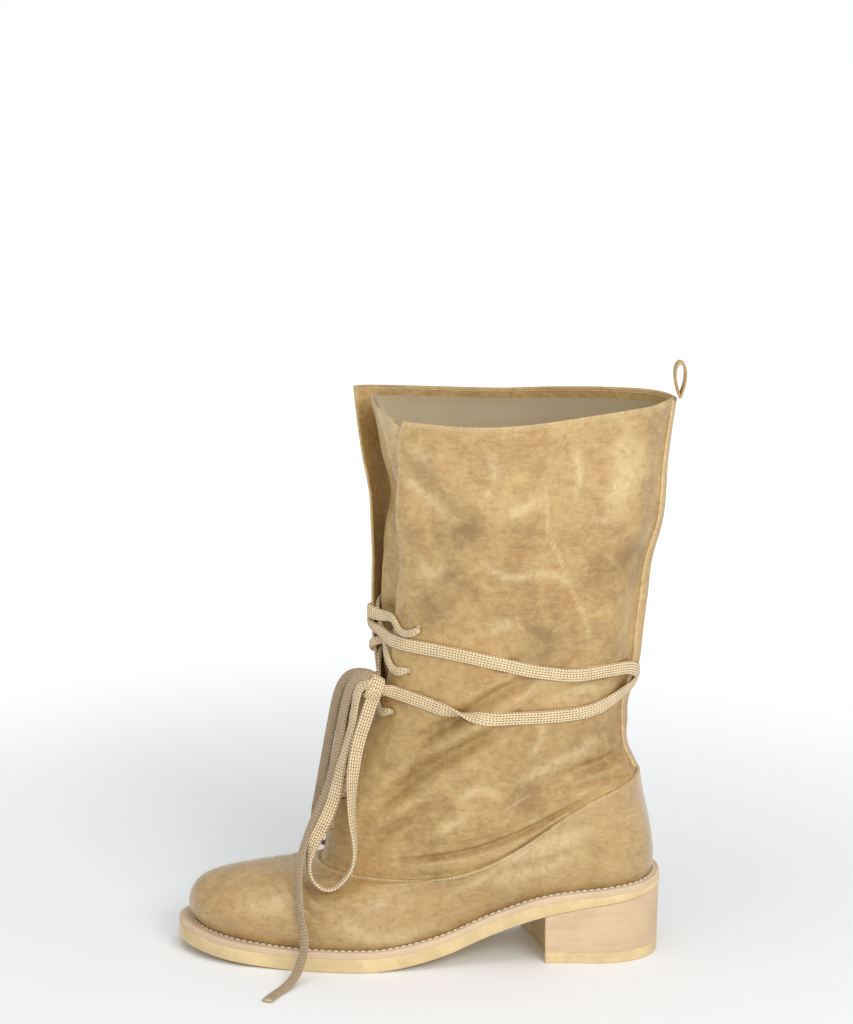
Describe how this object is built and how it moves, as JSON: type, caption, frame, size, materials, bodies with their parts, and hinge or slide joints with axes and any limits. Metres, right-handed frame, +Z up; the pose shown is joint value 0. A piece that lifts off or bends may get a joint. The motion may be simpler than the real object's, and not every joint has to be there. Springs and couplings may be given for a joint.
{
  "type": "lace-up slouch boot",
  "caption": "Left mid-calf lace-up slouch boot in waxed tan leather with a crepe sole, stacked heel and a flat lace wound round the ankle",
  "frame": {"origin": "on the floor, under the middle of the boot's box without its free lace", "axes": "+X towards the toe, +Y to the wearer's outer (left) side, +Z up the shaft"},
  "size_m": [0.2802, 0.1565, 0.3383],
  "materials": {
    "leather": "waxed, mottled and scuffed",
    "lining": "matt lining",
    "crepe": "matt yellow crepe",
    "welt": "matt, stitched",
    "stack": "matt stacked lifts",
    "lace": "flat herringbone braid"
  },
  "bodies": {
    "root": {"outsole": "crepe", "welt": "welt", "heel_block": "stack", "heel_top_piece": "crepe", "insole": "lining", "upper": "leather", "tongue": "leather", "back_strip": "leather", "pull_loop": "leather", "lace_crossings": "lace", "lace_knot": "lace", "lace_loop_outer": "lace", "lace_loop_inner": "lace", "lace_end_outer": "lace", "lace_end_inner": "lace"}
  },
  "joints": []
}
